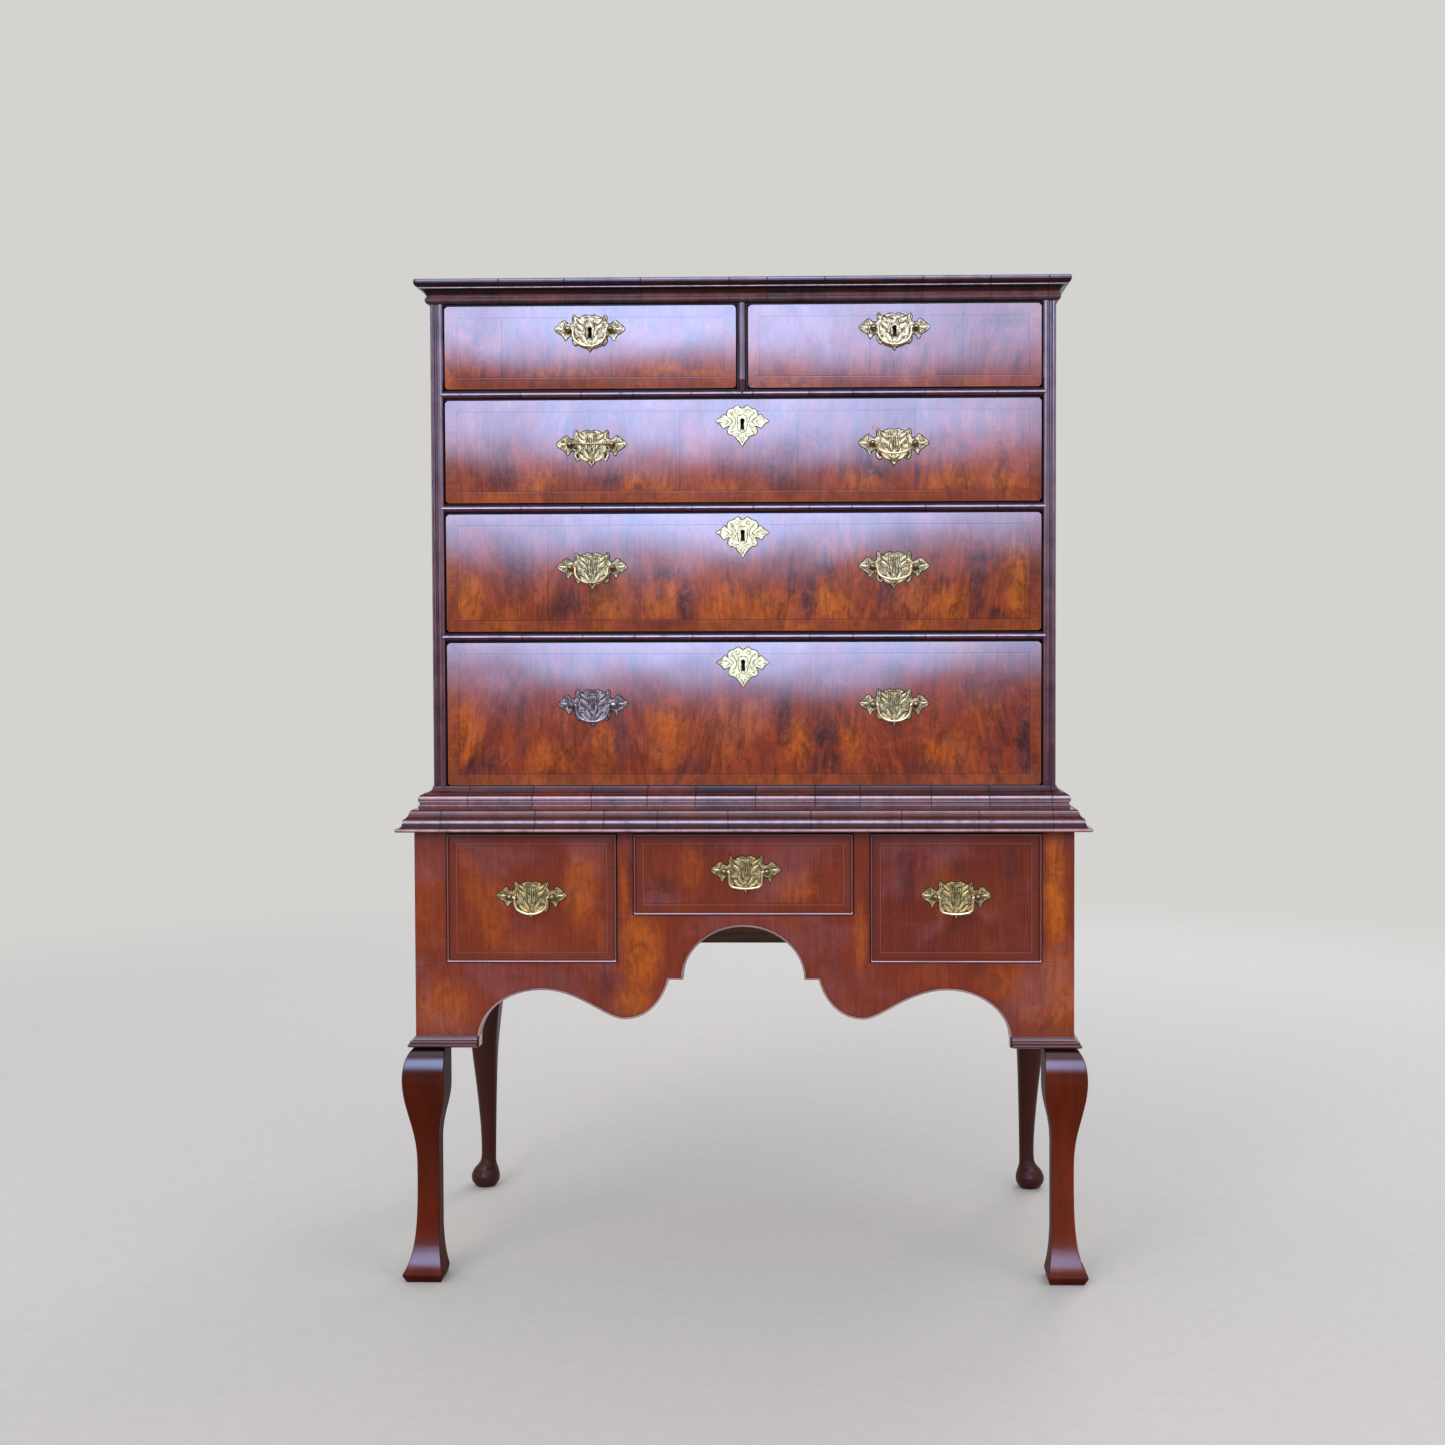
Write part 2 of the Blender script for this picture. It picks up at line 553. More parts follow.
def plain_walnut(name, colour, along="z", coat=0.9, rough=0.24, cloudy=0.45, leg=False,
                 rubbed=None):
    """Solid walnut, its grain running along one axis.

    A leg is polished only at its knee and foot, and darker on its flanks and under the lip.
    rubbed is the y of a bead's worn crest and the height that the bead starts at."""
    s = Shader(name)
    order = s.axes(along)
    wave = s.fleck(6, 6, 6, 3, 0.55)
    bend = (wave - 0.5)*0.03
    a, b, run = order[0] + bend, order[1] + bend, order[2]
    fibre = s.grain(a*560, b*560, run*16, 4, 0.65)
    broad = s.grain(a*55, b*55, run*3.5, 4, 0.6, 0.4)
    cloud = s.fleck(8, 8, 5, 2)
    s.colour = s.mix(cloud.ramp(0.62, 0.3)*cloudy, colour, DARK_WALNUT)
    s.dim(fibre*0.5 + broad*0.9 + 0.3)
    pores = s.grain(a*1300, b*1300, run*80, 1).ramp(0.68, 0.76)*0.4
    s.paint(pores, LINE)
    dents = s.fleck(34, 34, 28, 1)
    normal = s.bump(fibre*0.00002, broad*0.0001, dents*0.00006)
    if leg:
        flank = s.facing()[0].abs().ramp(0.45, 0.85)
        shelter = s.z.ramp(0.337, 0.347, 1.0, 0.25)
        right_leg = s.x.ramp(-0.1, 0.1, 0.95, 1.45)
        foot_edge = s.z.ramp(0.008, 0.022, 0.5, 1.0)
        ankle = s.z.ramp(0.12, 0.24, 1.05, 0.76)
        s.dim(ankle*(flank*-0.45 + 1.0)*foot_edge*shelter*right_leg)
        knee = s.z.ramp(0.3, 0.33, 0.05, 1.0)
        foot = s.z.ramp(0.08, 0.05)*s.z.ramp(0.015, 0.03)
        coat = (knee*shelter).high(foot*0.75)*flank.rsub(1.0)
    if rubbed:
        bead = s.z.above(rubbed[1])
        crest = s.y.ramp(rubbed[0] + 0.0004, rubbed[0] + 0.0001)*bead
        s.paint(bead*0.8, DARK_WALNUT)
        s.paint(crest*(cloud.ramp(0.3, 0.6)*0.28 + 0.3), RUBBED_TRIM)
        coat = bead*-0.8 + 1.0
    return s.finish(fibre*0.14 + rough, normal, coat, 0.15, 1.5,
                    specular=0.02 if leg else 0.1)


def dry_oak(name, along, seed, colour=OAK, board=0.0, boxed=False):
    """Bare, dusty oak with fine grain.

    Boards of the given width change tone and meet in dark joints. Where it is boxed, the grain
    runs along each side of a drawer's box."""
    s = Shader(name)
    order = s.axes(along)
    if boxed:
        crosswise = s.facing()[1].abs().above(0.7)
        order = [s.blend(crosswise, p, q) for p, q in zip(order, (s.z, s.y, s.x))]
    wave = s.fleck(5, 5, 5, 3)
    a, b, run = order[0] + (wave - 0.5)*0.03, order[1], order[2]
    rings = s.grain(a*170, b*170 + seed, run*3.2, 5, 0.65)
    fibre = s.grain(a*900, b*900, run*30, 3, 0.6)
    stain = s.fleck(6, 6, 6, 4, 0.65)
    ray = s.grain(a*260, b*260 + seed, run*70, 1).ramp(0.66, 0.74)
    s.colour = s.mix(rings.ramp(0.34, 0.68), colour, [c*0.52 for c in colour])
    s.paint(ray*0.35, [c*1.35 for c in colour])
    s.paint(stain.ramp(0.5, 0.8)*0.55, [c*0.3 for c in colour])
    shade = fibre*0.6 + stain*0.4 + 0.5
    height = [rings*0.0002, fibre*0.00008]
    if board:
        plank = s.tones(order[0] + seed, 1/board)
        joint = (s.ends(order[0] + seed, 1/board)*board).ramp(0.0012, 0.0005)
        shade = shade*(plank*0.3 + 0.85)
        s.paint(joint*0.9, OAK_JOINT)
        height.append(joint*-0.0006)
    s.dim(shade)
    return s.finish(fibre*0.15 + 0.65, s.bump(*height))


# Brass in its hollows and where it is rubbed
SHIELD_TONES = ((0.55, 0.42, 0.2), (0.94, 0.76, 0.38))
POST_TONES = ((0.085, 0.055, 0.026), (0.28, 0.2, 0.1))
GREY_TONES = ((0.1, 0.07, 0.06), (0.42, 0.33, 0.29))


def aged_brass(name, bright, patina, face_y=None, grey=0.0, escutcheon=0.0, smooth=False,
               rub=(0.38, 0.6)):
    """Cast brass, rubbed bright where it is proud.

    In front of face_y stand darker posts. grey is how far the left handle has lost its colour,
    and escutcheon is a factor on the paler plate in the middle."""
    s = Shader(name)
    fine = s.fleck(900, 900, 900, 3, 0.6)
    soft = s.fleck(160, 160, 160, 3, 0.65)
    worn = (soft*0.6 + fine*0.4).ramp(*rub)
    s.colour = s.mix(worn, patina, bright)
    rough = worn*-0.1 + (0.36 if smooth else 0.5)
    if escutcheon:
        middle = s.x.abs().ramp(0.062, 0.058)
        shield = [[min(1.0, c*escutcheon) for c in tone] for tone in SHIELD_TONES]
        s.paint(middle, s.mix(worn, *shield))
    if face_y is not None:
        post = s.y.rsub(face_y - 0.0024).ramp(0.0, 0.0004)
        s.paint(post*0.9, s.mix(worn, *POST_TONES))
        rough = rough - post*0.22
    if grey:
        left = s.x.ramp(-0.02, -0.06)
        s.paint(left*grey, s.mix(worn, *GREY_TONES))
        rough = rough + left*0.08
    normal = s.bump(fine*0.00002, soft*(0.00005 if smooth else 0.0001))
    return s.finish(rough, normal, metal=1.0)


# ---- The drawers ----

# Looks of the drawers' veneer, as drawer_veneer() takes them
FIGURE = {
    "top_left": dict(
        seed=1.0, bloomy=0.45, joints=[-0.61, 0.15], lean=0.003, crown=0.1, sag=0.01,
        patches=[
            (-20, -70, 42, 20, 75), (50, -62, 14, 30, 90), (80, -75, 18, 20, 80),
            (-97, -20, 5, 50, 80), (72, 10, 12, 40, -35), (-75, -30, 10, 40, -40)]),
    "top_right": dict(
        seed=2.0, bloomy=0.6, joints=[-0.17, 0.47], gloss=0.85, lean=0.01, crown=0.075,
        patches=[
            (-47, -85, 30, 16, 80), (20, -80, 25, 15, 60), (78, -30, 14, 60, -60),
            (45, 20, 4, 90, -35), (-60, 0, 20, 50, -20)]),
    "second": dict(
        seed=3.0, bloomy=0.75, joints=[-0.59, -0.21, 0.185, 0.58], gloss=0.9, lean=0.009,
        crown=0.1, sag=0.015, twist=0.006,
        patches=[
            (-67, -61, 8, 26, 85), (-32, -65, 10, 30, 95), (40, -57, 7, 22, 100),
            (71, -57, 12, 30, 85), (86, -60, 8, 30, 75), (-5, -75, 12, 20, 50),
            (-81, -46, 7, 30, -60), (-44, -49, 6, 26, -70), (45, -30, 5, 20, -80),
            (58.5, -40, 1.2, 50, -80), (12, -45, 5, 40, -50)]),
    "third": dict(
        seed=4.0, bloomy=0.5, joints=[-0.657, -0.346, 0.763], lean=-0.004, crown=0.1,
        sag=0.029, twist=0.012,
        patches=[
            (-93, -45, 5, 45, 90), (-44, -50, 7.5, 42, 100), (-26, -42, 8.5, 36, 100),
            (-4, -52, 11, 36, 60), (9, -55, 9, 36, 80), (30, -53, 8, 30, 100), (57, -45, 6, 40, 75),
            (69, -53, 9, 36, 70), (93, 0, 4.5, 80, 100), (-76, 10, 9, 50, -45),
            (-58, -60, 7, 30, -80), (-22, -2, 7, 16, -60), (-18.5, -50, 2.5, 40, -95),
            (22, -50, 3.5, 42, -90), (27, 12, 6, 24, -75), (47.5, -30, 3.5, 30, -80),
            (79, -20, 3, 85, -80), (86, -72, 4, 18, -60)]),
    "bottom": dict(
        seed=5.0, bloomy=0.3, joints=[], tone=(0.86, 0.76, 0.85), lean=0.005, crown=0.12,
        sag=0.037, twist=0.004,
        patches=[
            (-92, -20, 4.5, 55, 100), (-64, -59, 10, 28, 90), (-47.5, -45, 4, 40, 85),
            (-26, -25, 8, 55, 95), (-5, -20, 9, 50, 70), (3, -15, 5, 40, 80),
            (19.5, -38, 6, 48, 100), (37.5, -35, 4.5, 40, 80), (69, -50, 11, 38, 85),
            (83, 10, 6, 40, 70), (-77.5, 10, 10, 34, -60), (-74, -30, 3, 32, -60),
            (-42, -30, 2.5, 50, -75), (-88, -75, 9, 20, -70), (-18, -73, 7, 18, -60),
            (14.6, 0, 3, 50, -80), (29, -28, 4.5, 28, -95), (29, -68, 7, 22, -65),
            (62, -77, 7, 14, -70), (85, 29, 5, 25, -70), (85, -50, 3, 36, -60),
            (94, -50, 3.5, 65, -95)]),
}
for drawer in UPPER:
    name = drawer + "_front"
    assign(name, drawer_veneer(drawer + "_veneer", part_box(name), **FIGURE[drawer]), 0.0016, 3)

# Patches, seed and ground colour of the stand's drawers
STAND_FRONTS = {
    "stand_left": ([
        (-24.5, 60, 3, 7, 55), (-37.5, 56, 3, 7, 35), (-41, 60, 2, 5, 35),
        (-29, 64.5, 5, 2.5, -25)], 1.0, STAND),
    "stand_centre": ([
        (8.5, 60, 4.5, 3, 40), (-8, 63, 2, 4, 35), (-12.5, 59, 3, 3, -60), (11.5, 60, 1.5, 3, -40),
        (-5, 65.5, 3, 2, -35)], 2.0, STAND),
    "stand_right": ([
        (24.2, 62, 1.3, 5.5, -95), (32.5, 63.5, 2, 2.5, -60), (40, 63, 1.4, 3, -80),
        (32, 54, 5, 2, -35), (30, 59, 2, 6, 25)], 3.0, STAND_DARKER),
}
for drawer, look in STAND_FRONTS.items():
    name = drawer + "_front"
    assign(name, stand_veneer(drawer + "_veneer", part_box(name), *look, lined=True), 0.001, 3)

STAND_PATCHES = [
    (46.8, 59, 2, 10, 100), (47.5, 45, 3, 8, 60), (40, 45.5, 5, 3, 35), (-45.5, 41.5, 5, 5.5, 50),
    (-15.5, 52, 3.5, 4.5, 70), (-18, 59, 0.8, 6, 50), (-16.5, 43, 3, 3, 60), (17.5, 52, 1.2, 6, 45),
    (44, 41, 3, 3, 30), (-15.3, 48.5, 3.2, 4.5, 80), (-20.5, 45, 1.5, 2.8, -70),
    (-28, 46, 3, 2, -35), (-7, 55.5, 3, 1.2, -40), (13, 50, 1.5, 5, -30), (-44, 37.5, 5, 1.2, -40),
    (45.5, 38.5, 3, 2, -35)]
stand_wood = stand_veneer("stand_wood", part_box("stand_frame"), STAND_PATCHES, 4.0)
for name in ("stand_frame", "apron"):
    assign(name, stand_wood, 0.0006)

# ---- Mouldings and beads ----

# Width of the softened edges, material, and what cross_grain() takes
MOULDINGS = {
    "cornice": (0.001, "cornice_wood", 10.0, 0.35, ((0.02, 0.005, 0.006), (0.11, 0.019, 0.009)), [
        (0, 2.2, 1, 0.4, 0.2, 0), (3, 11, 0.7, 0.2, 0, 0), (11.5, 13.6, 1, 0.9, 0.65, 0),
        (14.2, 21, 0.6, 0.3, 0, 0), (22, 26.5, 1.3, 0.6, 0.15, 0), (27, 40, 0.9, 0.15, 0.1, 0)]),
    "case_base_moulding": (
        0.0012, "base_wood", 11.0, 1.7, ((0.05, 0.012, 0.018), (0.19, 0.034, 0.02)), [
            (0, 14.8, 0.5, 0.14, 0, 0), (15.4, 18.8, 1, 1.2, 0.5, 0), (19.2, 20.6, 0.8, 0.5, 0, 0),
            (21, 24, 1, 0.9, 0.3, 0.38), (24.2, 27.6, 1, 0.6, 0.12, 0.5),
            (28.2, 40, 0.9, 0.6, 0.12, 0.04)]),
    "waist_moulding": (
        0.0011, "waist_wood", 9.0, 3.1, ((0.06, 0.013, 0.012), (0.17, 0.03, 0.014)), [
            (-1, 2.2, 0.3, 0.2, 0, 0), (3, 6.2, 1.2, 0.5, 0.1, 0), (6.2, 14.6, 0.5, 0.07, 0, 0),
            (15.2, 18.8, 1, 0.65, 0.75, 0.12), (19.2, 26.4, 0.28, 0.03, 0, 0),
            (27.4, 30.8, 1, 1.3, 0.8, 0.08)]),
    "front_beads": (0.0005, "bead_wood", 11.0, 0.9,
                    ((0.032, 0.013, 0.024), (0.11, 0.03, 0.03)), [], 0.45, True),
}
for name, (width, wood, *look) in MOULDINGS.items():
    assign(name, cross_grain(wood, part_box(name), *look), width, 3, 40)
apron_front, bead_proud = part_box("apron")[0].y, 0.002
lip_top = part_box("leg_front_left")[1].z + 0.0165
trim_wood = plain_walnut("trim_wood", (0.072, 0.016, 0.011), along="x", rough=0.2, coat=1.0,
                         rubbed=(apron_front - bead_proud, lip_top))
assign("apron_trim", trim_wood, 0.0009, 3, 40)

# ---- Carcass ----

side_wood = plain_walnut("side_wood", (0.19, 0.046, 0.018), cloudy=0.25)
for name in ("case_side_left", "case_side_right"):
    assign(name, side_wood, 0.001)
assign("case_rails", plain_walnut("rail_wood", (0.022, 0.008, 0.006), along="x", coat=0.1,
                                  rough=0.5))
assign("stand_top", plain_walnut("stand_top_wood", (0.1, 0.026, 0.015), along="x"))
assign("stand_sides",
       plain_walnut("stand_side_wood", (0.2, 0.036, 0.01), along="y", coat=0.5), 0.001)
assign("case_back", dry_oak("back_oak", "z", 1.0, (0.29, 0.18, 0.095), 0.2), 0.001)
assign("stand_back", dry_oak("stand_back_oak", "x", 2.0, (0.13, 0.07, 0.035)), 0.001)
assign("case_boards", dry_oak("board_oak", "y", 3.0, (0.33, 0.22, 0.13), 0.24))
assign("stand_runners", dry_oak("runner_oak", "x", 4.0, (0.2, 0.12, 0.06)))
box_wood = dry_oak("drawer_oak", "y", 5.0, boxed=True)
for drawer in UPPER + LOWER:
    assign(drawer + "_box", box_wood, 0.0012)

# ---- Legs ----

leg_wood = plain_walnut("leg_wood", LEG, rough=0.32, cloudy=0.5, coat=1.0, leg=True)
back_leg_wood = plain_walnut("back_leg_wood", (0.036, 0.006, 0.003), coat=0.12, rough=0.35)
for side in ("left", "right"):
    assign("leg_front_" + side, leg_wood, 0.0016, 3)
    assign("leg_back_" + side, back_leg_wood)
    for end in ("front_", "back_"):
        smooth_faces(nodes["leg_" + end + side])

# ---- Brasses, bails and locks ----

BALL_OUT = 0.011
PLATE = 0.0012
PATINA = (0.2, 0.125, 0.045)
PALE_GOLD = (0.78, 0.6, 0.32)
GOLD = (0.8, 0.6, 0.29)
OLIVE = (0.8, 0.56, 0.2)
# Rubbed colour of each drawer's brasses, and a factor on it
RUBBED_BRASS = {"top_left": (PALE_GOLD, 0.94), "top_right": (PALE_GOLD, 0.94),
                "second": (GOLD, 0.9), "third": (GOLD, 0.8), "bottom": (GOLD, 0.8)}
ESCUTCHEONS = {"second": 0.96, "third": 1.0, "bottom": 1.22}
leaf_brass = {}


def handles_of(drawer):
    """Where the drawer's bails turn."""
    return [j["pos_m"] for j in frame["joints"] if j["child"].startswith(drawer + "_bail")]


for drawer in UPPER + LOWER:
    face = handles_of(drawer)[0][1] + BALL_OUT
    gold, factor = RUBBED_BRASS.get(drawer, (OLIVE, 0.84))
    gold = [c*factor for c in gold]
    look = dict(grey=1.0 if drawer == "bottom" else 0.0, escutcheon=ESCUTCHEONS.get(drawer, 0.0))
    cast = aged_brass(drawer + "_brass", gold, PATINA, face, rub=(0.44, 0.6), **look)
    assign(drawer + "_brasses", cast, 0.0003, 1, 50)
    leaf_brass[drawer] = aged_brass(drawer + "_leaf", [c*1.15 for c in gold], PATINA,
                                    rub=(0.3, 0.5), **look)
bail_brass = aged_brass("bail_brass", (0.95, 0.77, 0.45), (0.6, 0.44, 0.2), smooth=True)
dark_bail = aged_brass("dark_bail", (0.42, 0.35, 0.35), (0.16, 0.125, 0.13), smooth=True)
worn_bail = aged_brass("worn_bail", (0.5, 0.38, 0.18), (0.2, 0.14, 0.06), smooth=True)
special_bails = {"bottom_bail_left": dark_bail, "second_bail_left": worn_bail,
                 "third_bail_left": worn_bail}
for name in nodes:
    if "_bail" in name:
        assign(name, special_bails.get(name, bail_brass))
        smooth_faces(nodes[name])
iron = Shader("iron")
grain = iron.fleck(400, 400, 400, 3, 0.6)
iron.colour = iron.mix(grain, (0.05, 0.045, 0.04), (0.16, 0.1, 0.07))
iron_material = iron.finish(grain*0.2 + 0.5, iron.bump(grain*0.0001), metal=0.7)
for drawer in UPPER:
    assign(drawer + "_lock", iron_material)

# ---- Chased foliage on the brasses: low leaves and dark cut lines ----

def arc(x, z, radius, start, end, steps=8):
    """Points round part of a circle, by angles in degrees."""
    angles = [math.radians(start + (end - start)*k/steps) for k in range(steps + 1)]
    return [(x + radius*math.cos(a), z + radius*math.sin(a)) for a in angles]


# All in millimetres about the middle of a handle or a keyhole.
# Leaves of a backplate's right half: root, tip, width, and how far the middle bows to the left
LEAVES = [((1.2, -23), (12, -4.5), 5.2, -2.0), ((3.5, -25), (19.5, -11), 4.6, -2.6),
          ((9.5, -3), (20.5, 9.5), 5.6, 1.6), ((10.5, 7), (20, 16.5), 4.2, 1.2),
          ((9, 17.5), (15, 18.2), 2.6, 0.6), ((38, 0.5), (50.5, 1.4), 4.2, 0.3)]
# Cut lines of its right half
LINES = [
    [(7.6, 18.5), (8.4, 10), (6.6, 1), (6.2, -7), (3, -13), (0.3, -15.5)],
    [(5.2, 17.5), (5.8, 10), (4.8, 2.5)],
    [(1.5, 13.5), (6.5, 14.2)], [(0.3, 18.8), (4, 19.4), (7.6, 18.5)],
    [(1.2, -23), (7, -17), (10.5, -10), (12, -4.5), (8, -8), (4, -15), (1.2, -23)],
    [(3.5, -25), (12, -20.5), (18, -15.5), (19.5, -11), (12.5, -13), (7, -18), (3.5, -25)],
    [(9.5, -3), (16, 0), (20, 4.5), (20.5, 9.5), (14.5, 6.5), (11, 2), (9.5, -3)],
    [(10.5, 7), (16.5, 10), (20, 16.5), (14, 13.8), (10.5, 7)],
    [(21.8, -8), (23, 0), (22.3, 7)], [(20.5, -15.5), (22.6, -8.5)], [(12.5, 16.5), (17, 18)],
    [(22.2, 12.5), (24.2, 17), (23.4, 20.5)],
    [(37.3, 3.4), (39, 12)], [(38.6, 3.2), (43, 9.2)], [(40, 2.8), (47, 6)], [(41, 1.6), (51, 1.5)],
    [(40, -0.6), (47, -3.2)], [(38.6, -1.4), (42.4, -6)], [(37.3, -2.0), (38.2, -8.6)],
    [(27.3, 10.2), (29.5, 7.0)], [(27.6, -8.2), (29.6, -6.6)]]
# Middle of a bail's wire from its right pivot to its bottom, round-bottomed and flat
ROUND_BAIL = ([(24.6, -2.5), (24.6, -4.5)] + arc(7.6, -6.2, 17, 0, -59.6)
              + arc(0, 6.7, 32, -59.6, -90)[1:])
FLAT_BAIL = ([(24.6, -2.5), (24.6, -8.5)] + arc(15.6, -14.6, 9, 0, -77.3)
             + arc(0, 54.7, 80, -77.3, -90)[1:])
# Worn rim round a keyhole
KEYHOLE = arc(0, 4.5, 3.1, -35, 215, 12) + [(-2.2, -0.5), (-3.1, -9.5), (3.1, -9.5), (2.2, -0.5)]
FLUTES = [[(0.1, 12), (0.2, 2), (0.1, -10)], [(2.6, 12.5), (2.9, 2), (1.6, -11)]]
# Cut lines of an escutcheon's right half, and its four punched rings
SHIELD_LINES = [
    [(29, 7), (20.5, 2.6), (26.5, -2.6)], [(23.5, 10.5), (14.5, 3.5), (20, -1.6)],
    [(15.5, 16.5), (12.4, 10), (9.8, 3.5), (11.5, -4), (15.5, -8.5)],
    [(2, 23), (4.2, 25)], [(19, 18.5), (14.5, 10.5)], [(36.5, 2.6), (30.5, 1.4)],
    [(31.5, 6.5), (34.5, 4.6)],
    [(6.4, 11.5), (7.6, 2), (6.2, -9), (0.2, -14.5)], [(18.8, -14), (12.5, -10.4)],
    [(2, -22), (0.2, -30)], [(4.5, -24), (1.2, -20.5)], [(0.1, 13.2), (3.4, 12.6), (6.4, 11.5)]]
RINGS = [(8.3, 18.4), (7.8, -17.2)]
RING_RADIUS = 2.9
# In metres: a leaf's veins in front of the plate, and a short drawer's keyhole below its pivots
VEIN_PROUD = Vector((0, 0.00027, 0))
KEYHOLE_DROP = Vector((0, 0, 0.003))


def smooth_line(points, steps=4):
    """Points along a smooth curve through the given ones."""
    p = [points[0]] + list(points) + [points[-1]]
    out = []
    for i in range(1, len(p) - 2):
        for k in range(steps):
            t = k/steps
            out.append(tuple(
                0.5*(2*b + (c - a)*t + (2*a - 5*b + 4*c - d)*t*t + (3*b - a - 3*c + d)*t**3)
                for a, b, c, d in zip(p[i - 1], p[i], p[i + 1], p[i + 2])))
    return out + [tuple(points[-1])]


# How far the edges of lines, leaves and rims are sunk into the face they lie on
SUNK = 0.05


def sections(mesh, rows, ends=True):
    """Closed solid through rows of points, each row running round the solid once.

    Without ends, the last row joins the first."""
    made = [[mesh.verts.new(co) for co in row] for row in rows]
    size = len(rows[0])
    for a, b in zip(made, made[1:] if ends else made[1:] + made[:1]):
        for k in range(size):
            mesh.faces.new((a[k], a[(k + 1) % size], b[(k + 1) % size], b[k]))
    if ends:
        mesh.faces.new(made[0])
        mesh.faces.new(made[-1])


def cut_line(mesh, points, place, width, rise=0.1, ring=False):
    """Fine dark strip with a ridged top that tapers at both ends, or a closed ring of it."""
    rows = []
    last = len(points) - 1
    sunk = Vector((0, SUNK, 0))
    for i, (x, z) in enumerate(points):
        if ring:
            before, after = points[i - 1], points[(i + 1) % len(points)]
            half = width/2
        else:
            before, after = points[max(i - 1, 0)], points[min(i + 1, last)]
            half = width/2*(0.35 + 0.65*math.sin(math.pi*i/last)**0.5)
        along = Vector((after[0] - before[0], 0, after[1] - before[1])).normalized()
        side = Vector((-along.z, 0, along.x))
        middle = Vector((x, 0, z))
        rows.append([place + (middle + side*half + sunk)/1000,
                     place + (middle + Vector((0, -rise, 0)))/1000,
                     place + (middle - side*half + sunk)/1000])
    sections(mesh, rows, not ring)


def leaf(mesh, root, tip, width, bow, place, rise=0.55):
    """Low leaf with two swelling halves and a sunk vein."""
    root, tip = Vector((root[0], 0, root[1])), Vector((tip[0], 0, tip[1]))
    along = (tip - root).normalized()
    side = Vector((-along.z, 0, along.x))
    rows = []
    steps = 8
    # Short of both ends, where the width would be 0
    for i in range(steps + 1):
        t = 0.02 + 0.96*i/steps
        half = width/2*math.sin(math.pi*t**0.85)**0.7
        spine = root.lerp(tip, t) + side*bow*math.sin(math.pi*t)
        h = rise*math.sin(math.pi*t)**0.4
        rows.append([place + (spine + side*half*k - Vector((0, h*up - SUNK, 0)))/1000
                     for k, up in ((-1, 0), (-0.55, 1), (0, 0.55), (0.55, 1), (1, 0))])
    sections(mesh, rows)


def inside(point, loop):
    """Whether a point is inside a closed outline."""
    x, z = point
    odd = False
    for (ax, az), (bx, bz) in zip(loop, loop[1:] + loop[:1]):
        if (az > z) != (bz > z) and x < ax + (bx - ax)*(z - az)/(bz - az):
            odd = not odd
    return odd


def plate_mark(mesh, path, place, loops, width=6.2):
    """Dark mark behind a bail, where both of its sides are over the plate."""
    def over(point, loop):
        return all(inside((place.x + point[0]*k/1000, place.z + point[1]*k/1000), loop)
                   for k in (0.91, 1.09))

    run = []
    for point in path + [None]:
        if point and any(over(point, loop) for loop in loops):
            run.append(point)
            continue
        if len(run) > 2:
            cut_line(mesh, run, place, width, 0.04)
        run = []


def mirrored(points):
    return [(-x, z) for x, z in points]


def both_sides(mesh, points, place, width=1.75):
    """A curved cut line and its mirror image."""
    curve = smooth_line(points)
    for half in (curve, mirrored(curve)):
        cut_line(mesh, half, place, width)


def piece(name, mesh, body, material):
    """Makes a visible piece of brass that rides on a body."""
    data = bpy.data.meshes.new(name)
    bmesh.ops.recalc_face_normals(mesh, faces=mesh.faces)
    mesh.to_mesh(data)
    mesh.free()
    data.materials.append(material)
    obj = add_object(name, data)
    smooth_faces(obj)
    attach(obj, body)


ink = Shader("cut_lines")
grime = ink.fleck(700, 700, 700, 3, 0.6)
ink.colour = ink.mix(grime, (0.006, 0.004, 0.002), (0.034, 0.019, 0.008))
ink_material = ink.finish(grime*0.2 + 0.6, ink.bump(grime*0.00003), specular=0.05)


def outlines(obj, y):
    """Outer outline of each flat face of obj that looks forward at y, as lists of (x, z)."""
    flat = [p for p in obj.data.polygons
            if p.normal.y < -0.99 and abs(obj.data.vertices[p.vertices[0]].co.y - y) < 0.00005]
    # Edges with a face on one side only, and the corners beside each corner on them
    edges = {}
    for p in flat:
        ring = [tuple(round(c, 5) for c in obj.data.vertices[i].co.xz) for i in p.vertices]
        for a, b in zip(ring, ring[1:] + ring[:1]):
            edges[frozenset((a, b))] = edges.get(frozenset((a, b)), 0) + 1
    beside = {}
    for edge, count in edges.items():
        if count == 1 and len(edge) == 2:
            a, b = edge
            beside.setdefault(a, []).append(b)
            beside.setdefault(b, []).append(a)
    loops = []
    while beside:
        start = next(iter(beside))
        loop, here = [start], beside.pop(start)[0]
        while here in beside:
            loop.append(here)
            options = [q for q in beside.pop(here) if q in beside]
            if not options:
                break
            here = options[0]
        # Keyholes are narrower than any plate
        if max(q[0] for q in loop) - min(q[0] for q in loop) > 0.03:
            loops.append(loop)
    return loops


